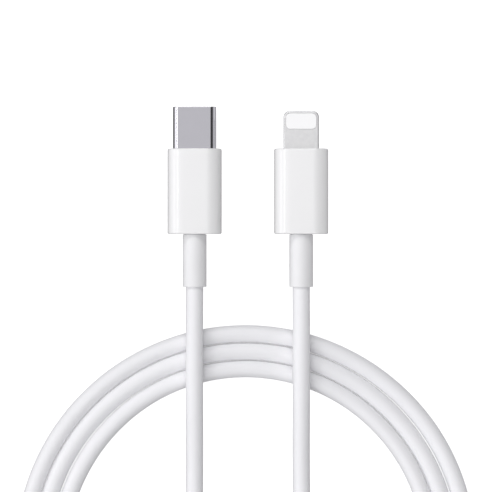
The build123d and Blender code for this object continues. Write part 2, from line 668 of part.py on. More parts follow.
def lead(name, points):
    """An uncoiled stretch of the cord: straight runs joined by tangent arcs."""
    radii = arc_radii(points)
    path = FilletPolyline(*points, radius=radii)
    tube = sweep(Plane(origin=path @ 0, z_dir=path % 0) * Circle(CABLE_DIAMETER / 2), path=path)
    exact = math.pi * CABLE_DIAMETER**2 / 4 * path.length
    print(name, "length", round(path.length, 1), "volume ratio", round(tube.volume / exact, 4))
    print("   arc radii", [round(radius, 1) for radius in radii])
    return tube


def coil():
    """The outer shape of the flat coil: every turn side by side, as one ring."""
    width = (COIL_TURNS - 1) * COIL_PITCH + CABLE_DIAMETER
    middle = (COIL_INNER_RADIUS + COIL_OUTER_RADIUS) / 2
    section = Pos(middle, CORD_HEIGHT) * SlotOverall(width, CABLE_DIAMETER)
    return Pos(*COIL_CENTRE, 0) * revolve(Plane.XZ * section, axis=Axis.Z)


# ---------------------------------------------------------------- write every node
def write(name, shape, place=Pos(0, 0, 0)):
    """Write one node, as one solid or as a group of separate ones."""
    solids = shape if isinstance(shape, list) else [shape]
    solids = [place * solid for solid in solids]
    export_step(solids[0] if len(solids) == 1 else Compound(children=solids), f"parts/{name}.step")


for plug, side, pieces in (("charger", -1, charger_plug()), ("phone", 1, phone_plug())):
    for piece, shape in pieces.items():
        write(f"{plug}_{piece}", shape, Pos(side * PLUG_X, 0, AXIS_HEIGHT))

write("cable_lead_charger", lead("charger lead", CHARGER_LEAD))
write("cable_lead_phone", lead("phone lead", PHONE_LEAD))
write("cable_coil", coil())
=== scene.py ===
"""A white charging cable: two plugs side by side and one cord wound into a flat coil of three turns.

The CAD nodes give every size and place. This script dresses them, makes the cord as one smooth
curve, and sets up a plain studio. Everything is in metres, in the frame of the CAD model.
"""

from __future__ import annotations

import json
import logging
import math
from dataclasses import dataclass, field
from enum import Enum

import bmesh
import bpy
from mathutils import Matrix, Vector

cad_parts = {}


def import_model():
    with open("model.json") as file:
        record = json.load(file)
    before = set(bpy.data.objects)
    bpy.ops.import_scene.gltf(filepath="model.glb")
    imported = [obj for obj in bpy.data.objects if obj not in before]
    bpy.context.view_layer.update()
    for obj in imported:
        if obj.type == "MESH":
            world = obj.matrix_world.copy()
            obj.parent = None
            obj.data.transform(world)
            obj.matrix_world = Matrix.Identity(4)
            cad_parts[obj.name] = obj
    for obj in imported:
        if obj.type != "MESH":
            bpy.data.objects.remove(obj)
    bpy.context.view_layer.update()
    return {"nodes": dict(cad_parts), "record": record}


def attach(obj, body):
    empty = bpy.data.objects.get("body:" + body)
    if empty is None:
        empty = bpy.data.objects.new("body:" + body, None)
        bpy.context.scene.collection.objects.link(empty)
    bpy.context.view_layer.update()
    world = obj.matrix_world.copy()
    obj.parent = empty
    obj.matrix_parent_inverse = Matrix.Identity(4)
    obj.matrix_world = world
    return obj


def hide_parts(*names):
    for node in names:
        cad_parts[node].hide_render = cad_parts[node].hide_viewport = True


LOG = logging.getLogger("charging_cable")

MM = 0.001
BODY = "cable"
PLUG_X = 10.18  # from the middle to each plug's axis, in millimetres
GRAIN_STRETCH = 40  # how many times longer than wide a drawn grain is
CREASE_ANGLE = 35.0  # degrees between two faces from which their edge stays sharp
ROUND_LIMIT = 1e-6  # a section whose ends lie closer than this, in millimetres, is a circle


# ------------------------------------------------------------------------------------------------
# Helpers for materials
# ------------------------------------------------------------------------------------------------
def srgb(code: str) -> tuple[float, float, float, float]:
    """Turns an sRGB hex colour into the linear colour that a shader takes.

    Args:
        code: six hex digits, such as "E9E9EB".

    Returns:
        Linear red, green and blue, and an alpha of one.
    """
    parts = [int(code[i : i + 2], 16) / 255 for i in (0, 2, 4)]
    linear = [c / 12.92 if c <= 0.04045 else ((c + 0.055) / 1.055) ** 2.4 for c in parts]
    return (linear[0], linear[1], linear[2], 1.0)


def add(
    tree: bpy.types.NodeTree,
    kind: str,
    settings: dict[str, object] | None = None,
    values: dict[object, object] | None = None,
    links: dict[object, bpy.types.NodeSocket] | None = None,
) -> bpy.types.Node:
    """Adds one node with its settings, socket values and incoming links.

    Args:
        tree: the node tree to add to.
        kind: the node's type name, such as "ShaderNodeTexNoise".
        settings: properties of the node itself.
        values: constant values by input name or number.
        links: sockets to link in, by input name or number.

    Returns:
        The new node.
    """
    node = tree.nodes.new(kind)
    for name, value in (settings or {}).items():
        setattr(node, name, value)
    for name, value in (values or {}).items():
        node.inputs[name].default_value = value
    for name, socket in (links or {}).items():
        tree.links.new(socket, node.inputs[name])
    return node


class Surface(Enum):
    """How a finish's small relief is laid out."""

    CLOUDY = "even in all directions"
    DRAWN_Y = "stretched along the plug's length"
    DRAWN_X = "stretched across the plug"


@dataclass(frozen=True)
class Finish:
    """A surface finish: its colours, its shader values and its small relief.

    Attributes:
        title: the material's name, after what it is made of and how.
        colour: sRGB hex colour of the surface.
        tint: sRGB hex colour that it drifts towards in faint patches.
        metallic: one for a metal.
        roughness: the mean roughness.
        roughness_swing: how far the roughness drifts either way.
        ior: index of refraction, left at the default for a metal.
        relief_mm: the size of the relief's grains.
        relief_depth_mm: how deep the relief is.
        surface: how the relief is laid out.
        patch_mm: the size of the faint patches of colour.
        coat: weight of a clear coat.
        subsurface: weight of light that passes under the surface.
        subsurface_mm: how far red, green and blue light pass under it.
        scratch: depth of fine slanted scratches as a share of the relief's depth.
        scratches_per_m: how many scratches go to a metre along them, across them and in depth.
        scratch_slant: degrees that the scratches are turned from the X axis.
        side_colour: sRGB hex colour painted on upright faces and rounded edges as shade, if they differ.
        side_roughness: roughness of those faces.
        side_range: how far a face's normal points up or down where its look begins to change and
            where it has changed in full.
    """

    title: str
    colour: str
    tint: str
    metallic: float = 0.0
    roughness: float = 0.4
    roughness_swing: float = 0.04
    ior: float = 1.5
    relief_mm: float = 0.2
    relief_depth_mm: float = 0.002
    surface: Surface = Surface.CLOUDY
    patch_mm: float = 3.0
    coat: float = 0.0
    subsurface: float = 0.0
    subsurface_mm: tuple[float, float, float] = (0.4, 0.4, 0.42)
    scratch: float = 0.0
    scratches_per_m: tuple[float, float, float] = (700.0, 6000.0, 700.0)
    scratch_slant: float = 35.0
    side_colour: str = ""
    side_roughness: float = 0.2
    side_range: tuple[float, float] = (0.99, 0.8)

    def relief_scale(self) -> tuple[float, float, float]:
        """Gives the relief's scale along X, Y and Z, in grains per metre."""
        grains = 1 / (self.relief_mm * MM)
        along = grains / GRAIN_STRETCH
        if self.surface is Surface.DRAWN_Y:
            return (grains, along, grains)
        if self.surface is Surface.DRAWN_X:
            return (along, grains, grains)
        return (grains, grains, grains)

    def build(self) -> bpy.types.Material:
        """Makes the material.

        Returns:
            A node material with patches of tint, a drifting roughness and a fine relief.
        """
        material = bpy.data.materials.new(self.title)
        material.use_nodes = True
        tree = material.node_tree
        tree.nodes.clear()
        place = add(tree, "ShaderNodeTexCoord")
        patches = add(
            tree,
            "ShaderNodeTexNoise",
            values={"Scale": 1 / (self.patch_mm * MM), "Detail": 3.0, "Roughness": 0.55},
            links={"Vector": place.outputs["Object"]},
        )
        colour = add(
            tree,
            "ShaderNodeMix",
            settings={"data_type": "RGBA"},
            values={6: srgb(self.colour), 7: srgb(self.tint)},
            links={0: patches.outputs["Fac"]},
        )
        stretch = add(
            tree,
            "ShaderNodeMapping",
            values={"Scale": self.relief_scale()},
            links={"Vector": place.outputs["Object"]},
        )
        grain = add(
            tree,
            "ShaderNodeTexNoise",
            values={"Scale": 1.0, "Detail": 4.0, "Roughness": 0.6},
            links={"Vector": stretch.outputs["Vector"]},
        )
        roughness = add(
            tree,
            "ShaderNodeMapRange",
            values={
                "To Min": self.roughness - self.roughness_swing,
                "To Max": self.roughness + self.roughness_swing,
            },
            links={"Value": grain.outputs["Fac"]},
        )
        base, rough, height = colour.outputs[2], roughness.outputs["Result"], grain.outputs["Fac"]
        if self.scratch > 0.0:
            height = self.scratches(tree, place, height)
        # painted shade: upright faces and rounded edges take a darker colour by the way they face
        if self.side_colour:
            base, rough = self.painted_side_shade(tree, base, rough)
        bump = add(
            tree,
            "ShaderNodeBump",
            values={"Strength": 1.0, "Distance": self.relief_depth_mm * MM},
            links={"Height": height},
        )
        values: dict[object, object] = {"Metallic": self.metallic, "Coat Weight": self.coat}
        if self.metallic < 1.0:
            values["IOR"] = self.ior
        if self.subsurface > 0.0:
            values["Subsurface Weight"] = self.subsurface
            values["Subsurface Radius"] = tuple(reach * MM for reach in self.subsurface_mm)
            values["Subsurface Scale"] = 1.0
        shader = add(
            tree,
            "ShaderNodeBsdfPrincipled",
            values=values,
            links={
                "Base Color": base,
                "Roughness": rough,
                "Normal": bump.outputs["Normal"],
            },
        )
        add(tree, "ShaderNodeOutputMaterial", links={"Surface": shader.outputs["BSDF"]})
        return material

    def scratches(
        self, tree: bpy.types.NodeTree, place: bpy.types.Node, height: bpy.types.NodeSocket
    ) -> bpy.types.NodeSocket:
        """Adds slanted scratches to the relief.

        Args:
            tree: the material's node tree.
            place: the texture coordinate node.
            height: the relief's height.

        Returns:
            The height with the scratches.
        """
        slant = add(
            tree,
            "ShaderNodeMapping",
            values={
                "Rotation": (0.0, 0.0, math.radians(self.scratch_slant)),
                "Scale": self.scratches_per_m,
            },
            links={"Vector": place.outputs["Object"]},
        )
        lines = add(
            tree,
            "ShaderNodeTexNoise",
            values={"Scale": 1.0, "Detail": 2.0},
            links={"Vector": slant.outputs["Vector"]},
        )
        both = add(
            tree,
            "ShaderNodeMath",
            settings={"operation": "MULTIPLY_ADD"},
            values={1: self.scratch},
            links={0: lines.outputs["Fac"], 2: height},
        )
        return both.outputs["Value"]

    def painted_side_shade(
        self, tree: bpy.types.NodeTree, base: bpy.types.NodeSocket, rough: bpy.types.NodeSocket
    ) -> tuple[bpy.types.NodeSocket, bpy.types.NodeSocket]:
        """Paints shade on the faces that don't look up or down: the sides' darker colour and an even
        roughness.

        Args:
            tree: the material's node tree.
            base: the colour elsewhere.
            rough: the roughness elsewhere.

        Returns:
            The colour and the roughness over the whole piece.
        """
        shape = add(tree, "ShaderNodeNewGeometry")
        parts = add(tree, "ShaderNodeSeparateXYZ", links={"Vector": shape.outputs["Normal"]})
        level = add(
            tree,
            "ShaderNodeMath",
            settings={"operation": "ABSOLUTE"},
            links={0: parts.outputs["Z"]},
        )
        side = add(
            tree,
            "ShaderNodeMapRange",
            values={"From Min": self.side_range[0], "From Max": self.side_range[1]},
            links={"Value": level.outputs["Value"]},
        )
        colour = add(
            tree,
            "ShaderNodeMix",
            settings={"data_type": "RGBA"},
            values={7: srgb(self.side_colour)},
            links={0: side.outputs["Result"], 6: base},
        )
        roughness = add(
            tree,
            "ShaderNodeMapRange",
            values={"To Max": self.side_roughness},
            links={"Value": side.outputs["Result"], "To Min": rough},
        )
        return colour.outputs[2], roughness.outputs["Result"]


# ------------------------------------------------------------------------------------------------
# The finishes
# ------------------------------------------------------------------------------------------------
FINISHES: dict[str, Finish] = {
    # ABS and polycarbonate, moulded in a polished tool: sharp highlights, a hint of orange peel
    "boot_white": Finish(
        "polished white ABS", "F1F1F1", "EEEEEE", roughness=0.05, roughness_swing=0.01, ior=1.52,
        relief_mm=0.9, relief_depth_mm=0.0015, patch_mm=6.0,
    ),
    # thermoplastic elastomer, moulded in an eroded tool: soft highlight, fine even texture
    "relief_white": Finish(
        "moulded white elastomer", "EAEAEB", "E7E7E8", roughness=0.5, ior=1.5,
        relief_mm=0.12, relief_depth_mm=0.0012, patch_mm=4.0,
    ),
    # the same elastomer extruded as a jacket: satin, drawn smooth
    "jacket_white": Finish(
        "extruded white elastomer", "EDEDEF", "EAEAEC", roughness=0.55, ior=1.5,
        relief_mm=0.12, relief_depth_mm=0.001, patch_mm=5.0,
    ),
    # stainless steel drawn to an oval and tumbled bright: near mirror, faint draw lines
    "shell_steel": Finish(
        "drawn stainless steel", "C6C5CA", "C2C1C6", metallic=1.0, roughness=0.1, roughness_swing=0.02,
        relief_mm=0.08, relief_depth_mm=0.0002, surface=Surface.DRAWN_Y, patch_mm=2.0,
    ),
    # machined steel, finely blasted and plated: milky, with a soft cloudiness
    "tab_steel": Finish(
        "blasted nickel-plated steel", "FAFAF9", "EAEAEA", metallic=1.0, roughness=0.34, roughness_swing=0.08,
        relief_mm=0.2, relief_depth_mm=0.0012, patch_mm=0.9, scratch=0.5,
        # painted shade: the tab's upright faces and rounded edges are painted a darker grey
        side_colour="98989C", side_roughness=0.34,
    ),
    # white moulded plastic, wiped smooth flush with the steel
    "insert_white": Finish(
        "moulded white PBT", "FBFBFB", "F9F9F9", roughness=0.22, roughness_swing=0.03, ior=1.55,
        relief_mm=0.3, relief_depth_mm=0.0006, patch_mm=2.0,
    ),
    # glass-filled liquid crystal polymer: dull black with a flow grain
    "housing_black": Finish(
        "moulded black LCP", "17171A", "1F1F22", roughness=0.5, ior=1.6,
        relief_mm=0.1, relief_depth_mm=0.002, surface=Surface.DRAWN_Y, patch_mm=1.0,
    ),
    # copper alloy plated with hard gold over nickel
    "contact_gold": Finish(
        "gold-plated copper alloy", "E8BE6B", "DFB05A", metallic=1.0, roughness=0.22, roughness_swing=0.05,
        relief_mm=0.05, relief_depth_mm=0.0004, surface=Surface.DRAWN_Y, patch_mm=0.8,
    ),
    # stamped spring steel: rolled grain along its length
    "spring_steel": Finish(
        "stamped spring steel", "BDBDC0", "B0B0B5", metallic=1.0, roughness=0.3, roughness_swing=0.06,
        relief_mm=0.06, relief_depth_mm=0.0006, surface=Surface.DRAWN_Y, patch_mm=1.0,
    ),
    # tin-plated steel sheet: dull bright, slightly mottled
    "tinned_steel": Finish(
        "tin-plated steel sheet", "C6C6C8", "B8B8BB", metallic=1.0, roughness=0.36, roughness_swing=0.08,
        relief_mm=0.3, relief_depth_mm=0.001, patch_mm=0.8,
    ),
    # half-hard brass, squeezed in a crimping tool
    "crimp_brass": Finish(
        "crimped brass", "D8B878", "CBA766", metallic=1.0, roughness=0.32, roughness_swing=0.06,
        relief_mm=0.15, relief_depth_mm=0.0015, surface=Surface.DRAWN_X, patch_mm=0.8,
    ),
    # fine copper strands, woven: relief drawn at a strand's width
    "copper_braid": Finish(
        "woven copper strands", "C98A63", "A96C48", metallic=1.0, roughness=0.36, roughness_swing=0.1,
        relief_mm=0.1, relief_depth_mm=0.02, patch_mm=0.4,
    ),
    # polyethylene, low-pressure moulded: milky and waxy
    "mould_clear": Finish(
        "low-pressure polyethylene", "DEDDD2", "D5D4C8", roughness=0.45, ior=1.51,
        relief_mm=0.6, relief_depth_mm=0.004, patch_mm=1.5, subsurface=0.3,
    ),
    # glass laminate under solder mask
    "board_green": Finish(
        "solder-masked laminate", "1F6B3A", "185A30", roughness=0.3, ior=1.55,
        relief_mm=0.25, relief_depth_mm=0.003, patch_mm=0.7,
    ),
    # epoxy moulded over silicon: matt black, sandblasted tool
    "chip_black": Finish(
        "moulded black epoxy", "222224", "2B2B2D", roughness=0.6, ior=1.55,
        relief_mm=0.05, relief_depth_mm=0.002, patch_mm=0.6,
    ),
    # fired ceramic chip parts
    "component_tan": Finish(
        "fired ceramic", "B3946A", "A5855B", roughness=0.5, ior=1.6,
        relief_mm=0.05, relief_depth_mm=0.001, patch_mm=0.3,
    ),
    # PVC insulation, extruded glossy in four colours
    "wire_red": Finish("red PVC insulation", "B3262A", "A51F24", roughness=0.28, ior=1.53, patch_mm=1.0),
    "wire_white": Finish("white PVC insulation", "E6E6E6", "DEDEDE", roughness=0.28, ior=1.53, patch_mm=1.0),
    "wire_black": Finish("black PVC insulation", "1C1C1E", "242426", roughness=0.28, ior=1.53, patch_mm=1.0),
    "wire_green": Finish("green PVC insulation", "2B7D43", "236F39", roughness=0.28, ior=1.53, patch_mm=1.0),
}


# ------------------------------------------------------------------------------------------------
# Lofted pieces
# ------------------------------------------------------------------------------------------------
@dataclass(frozen=True)
class Section:
    """A cross-section of a plug, square to its length: a circle, or a slot with round ends.

    Attributes:
        width: size along X, in millimetres.
        height: size along Z, in millimetres.
    """

    width: float
    height: float

    def inset(self, distance: float) -> Section:
        """Gives the section that lies a distance inside this one.

        Args:
            distance: how far in, in millimetres; below zero it lies outside.
        """
        return Section(self.width - 2 * distance, self.height - 2 * distance)

    def ring(self, y: float, points: int) -> list[Vector]:
        """Places points evenly round each end of the section.

        Args:
            y: where the section lies along the plug, in millimetres.
            points: how many points each of the two ends has.

        Returns:
            The points in order, counterclockwise as seen from the front.
        """
        radius = self.height / 2
        reach = self.width / 2 - radius
        # the two halves of a circle would meet in the same points, so each stops a little short
        spare = math.pi / (2 * points) if reach < ROUND_LIMIT else 0.0
        ring = []
        for end in (1, -1):
            start = -math.pi / 2 if end == 1 else math.pi / 2
            for i in range(points):
                angle = start + spare + (math.pi - 2 * spare) * i / (points - 1)
                ring.append(
                    Vector((end * reach + radius * math.cos(angle), y, radius * math.sin(angle))) * MM
                )
        return ring


@dataclass(frozen=True)
class Station:
    """A section and where it lies along the plug.

    Attributes:
        y: place along the plug, in millimetres.
        section: the cross-section there.
    """

    y: float
    section: Section


def rounded(section: Section, y: float, radius: float, into: int, face_first: bool) -> list[Station]:
    """Rounds the edge between a plug's end face and its side.

    Args:
        section: the full section of the side.
        y: place of the end face.
        radius: radius of the edge.
        into: 1 if the side runs towards +Y from the face, and -1 if it runs towards -Y.
        face_first: whether the stations start at the face or at the side.

    Returns:
        The stations of a quarter round.
    """
    steps = 7
    stations = []
    for i in range(steps + 1):
        turn = math.pi / 2 * i / steps
        depth = radius * (1 - math.sin(turn))
        inset = radius * (1 - math.cos(turn))
        stations.append(Station(y + into * depth, section.inset(inset)))
    return stations[::-1] if face_first else stations


class Loft:
    """A closed piece drawn through sections that run along it and back through its middle."""

    def __init__(self, name: str, stations: list[Station], points: int = 33) -> None:
        """Keeps what the piece is drawn through.

        Args:
            name: the piece's name.
            stations: the sections in order, out along the outside and back along the inside.
            points: how many points each end of a section has.
        """
        self.name = name
        self.stations = stations
        self.points = points

    def build(self, place: Vector, finish: bpy.types.Material, slot: str, node: str) -> bpy.types.Object:
        """Makes the piece in place of a CAD node.

        Args:
            place: the plug's origin, in metres.
            finish: the piece's material.
            slot: the record's material slot; not used.
            node: the CAD node that it stands for.

        Returns:
            The piece's object.
        """
        mesh = bpy.data.meshes.new(self.name)
        shape = bmesh.new()
        rings = [
            [point + place for point in station.section.ring(station.y, self.points)]
            for station in self.stations
        ]
        corners = [shape.verts.new(point) for point in rings[0]]
        start = [shape.edges.new(pair) for pair in zip(corners, corners[1:] + corners[:1])]
        edges = start
        for ring in rings[1:]:
            # the extruded corners come in the order of the ones that they are drawn from
            drawn = bmesh.ops.extrude_edge_only(shape, edges=edges)["geom"]
            for corner, point in zip((part for part in drawn if isinstance(part, bmesh.types.BMVert)), ring):
                corner.co = point
            edges = [part for part in drawn if isinstance(part, bmesh.types.BMEdge) and part.is_boundary]
        bmesh.ops.bridge_loops(shape, edges=start + edges)
        bmesh.ops.recalc_face_normals(shape, faces=shape.faces)
        for face in shape.faces:
            face.smooth = True
        shape.to_mesh(mesh)
        shape.free()
        piece = bpy.data.objects.new(self.name, mesh)
        bpy.context.scene.collection.objects.link(piece)
        mesh.materials.append(finish)
        mesh.set_sharp_from_angle(angle=math.radians(CREASE_ANGLE))
        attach(piece, BODY)
        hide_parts(node)
        LOG.info("%s: %d faces", self.name, len(mesh.polygons))
        return piece


@dataclass
class PlugSizes:
    """The sizes that both plugs share, in millimetres, along a plug's own axis.

    Attributes:
        boot: the boot's section.
        boot_front: place of the boot's front face.
        boot_rear: place of the boot's rear face.
        boot_wall: thickness of the boot's sides.
        end_wall: thickness of the boot's front and rear walls.
        edge_radius: radius of the boot's edges.
        face_margin: strip of the boot's flat ends that keeps the rounded edge's shading off them.
        relief_diameter: the strain relief's diameter.
        relief_end: place of the strain relief's far end.
        relief_tip_radius: radius of the edge at that end.
        flange: section of the flange that holds the strain relief in the boot.
        flange_length: thickness of the flange.
        neck_depth: how deep the groove between the boot and the strain relief is.
        neck_length: how far the groove reaches out of the boot.
        neck_overlap: how far the groove reaches into the boot.
        shoulder_radius: radius of the strain relief's edge at the groove.
        mouth_lip: bevel round the boot's two openings.
        cord_diameter: the cord's diameter.
        grip: how far the cord reaches into the strain relief.
        bore_flare: how much wider the strain relief's bore is at its end, on each side.
        bore_flare_depth: how far the wider end reaches in.
        screen_diameter: diameter of the cord's screen.
        gap: clearance between two pieces.
    """

    boot: Section = Section(10.35, 6.0)
    boot_front: float = 9.2
    boot_rear: float = -7.1
    boot_wall: float = 0.75
    end_wall: float = 1.2
    edge_radius: float = 0.3
    face_margin: float = 0.02
    relief_diameter: float = 4.55
    relief_end: float = -17.2
    relief_tip_radius: float = 0.14
    flange: Section = Section(7.4, 4.46)
    flange_length: float = 0.8
    neck_depth: float = 0.16
    neck_length: float = 0.15
    neck_overlap: float = 0.05
    shoulder_radius: float = 0.03
    mouth_lip: float = 0.08
    cord_diameter: float = 3.3
    grip: float = 5.0
    bore_flare: float = 0.12
    bore_flare_depth: float = 0.3
    screen_diameter: float = 2.5
    gap: float = 0.02


@dataclass
class Boot:
    """A plug's hollow boot: glossy outside, a mouth in front and a hole for the strain relief.

    Attributes:
        mouth: section of the opening in front.
        sizes: the sizes that both plugs share.
    """

    mouth: Section
    sizes: PlugSizes

    def stations(self) -> list[Station]:
        """Lists the sections from the mouth, over the outside and back through the cavity."""
        size = self.sizes
        cavity = size.boot.inset(size.boot_wall)
        hole = Section(size.relief_diameter + 2 * size.gap, size.relief_diameter + 2 * size.gap)
        lip = size.mouth_lip
        return [
            Station(size.boot_front - lip, self.mouth),
            Station(size.boot_front, self.mouth.inset(-lip)),
            Station(size.boot_front, size.boot.inset(size.edge_radius + size.face_margin)),
            *rounded(size.boot, size.boot_front, size.edge_radius, -1, True),
            *rounded(size.boot, size.boot_rear, size.edge_radius, 1, False),
            Station(size.boot_rear, size.boot.inset(size.edge_radius + size.face_margin)),
            Station(size.boot_rear, hole.inset(-lip)),
            Station(size.boot_rear + lip, hole),
            Station(size.boot_rear + size.end_wall, hole),
            Station(size.boot_rear + size.end_wall, cavity),
            Station(size.boot_front - size.end_wall, cavity),
            Station(size.boot_front - size.end_wall, self.mouth),
        ]


@dataclass
class StrainRelief:
    """The sleeve where the cord leaves a plug, with a shadow gap where it enters the boot.

    Attributes:
        sizes: the sizes that both plugs share.
    """

    sizes: PlugSizes

    def stations(self) -> list[Station]:
        """Lists the sections from the flange, along the outside and back through the bore."""
        size = self.sizes
        outside = Section(size.relief_diameter, size.relief_diameter)
        bore = Section(size.cord_diameter + 2 * size.gap, size.cord_diameter + 2 * size.gap)
        screen = Section(size.screen_diameter + 2 * size.gap, size.screen_diameter + 2 * size.gap)
        flange_rear = size.boot_rear + size.end_wall + size.gap
        flange_front = size.boot_rear + size.end_wall + size.flange_length
        neck = outside.inset(size.neck_depth)
        neck_end = size.boot_rear - size.neck_length
        return [
            Station(flange_front, screen),
            Station(flange_front, size.flange),
            Station(flange_rear, size.flange),
            Station(flange_rear, outside),
            Station(size.boot_rear + size.neck_overlap, outside),
            Station(size.boot_rear + size.neck_overlap, neck),
            Station(neck_end, neck),
            *rounded(outside, neck_end, size.shoulder_radius, -1, True),
            *rounded(outside, size.relief_end, size.relief_tip_radius, 1, False),
            Station(size.relief_end, bore.inset(-size.bore_flare)),
            Station(size.relief_end + size.bore_flare_depth, bore),
            Station(size.relief_end + size.grip, bore),
            Station(size.relief_end + size.grip, screen),
        ]


@dataclass
class Shell:
    """The charger plug's drawn tube, with a rolled lip round its mouth. Sizes are in millimetres.

    Attributes:
        outside: the tube's outer section.
        front: place of its mouth.
        rear: place of its rear end, inside the boot.
        wall: thickness of the tube.
        lip: radius of the mouth's outer edge.
        bevel: size of the mouth's inner edge.
    """

    outside: Section = Section(8.25, 2.4)
    front: float = 17.2
    rear: float = 5.2
    wall: float = 0.16
    lip: float = 0.1
    bevel: float = 0.03

    def stations(self) -> list[Station]:
        """Lists the sections from the rear, along the outside, round the lip and back inside."""
        return [
            Station(self.rear, self.outside.inset(self.wall)),
            Station(self.rear, self.outside),
            *rounded(self.outside, self.front, self.lip, -1, False),
            Station(self.front, self.outside.inset(self.wall - self.bevel)),
            Station(self.front - self.bevel, self.outside.inset(self.wall)),
        ]


@dataclass
class Plug:
    """One of the two plugs: its boot and strain relief, and its shell if it has one.

    Attributes:
        name: the plug's name, which starts the names of its pieces.
        x: place of its axis, in millimetres.
        core: the section of the shell or tab that comes out of the boot.
        shell: the drawn tube, for the charger plug.
        sizes: the sizes that both plugs share.
    """

    name: str
    x: float
    core: Section
    shell: Shell | None = None
    sizes: PlugSizes = field(default_factory=PlugSizes)

    def build(self, made: dict[str, bpy.types.Material]) -> None:
        """Makes the plug's outer pieces.

        Args:
            made: the materials by slot.
        """
        place = Vector((self.x, 0.0, self.sizes.boot.height / 2)) * MM
        boot = Loft(f"{self.name}_boot_skin", Boot(self.core.inset(-self.sizes.gap), self.sizes).stations())
        boot.build(place, made["boot_white"], "boot_white", f"{self.name}_boot")
        relief = Loft(f"{self.name}_relief_skin", StrainRelief(self.sizes).stations())
        relief.build(place, made["relief_white"], "relief_white", f"{self.name}_strain_relief")
        if self.shell is not None:
            tube = Loft(f"{self.name}_shell_skin", self.shell.stations(), points=49)
            tube.build(place, made["shell_steel"], "shell_steel", f"{self.name}_shell")


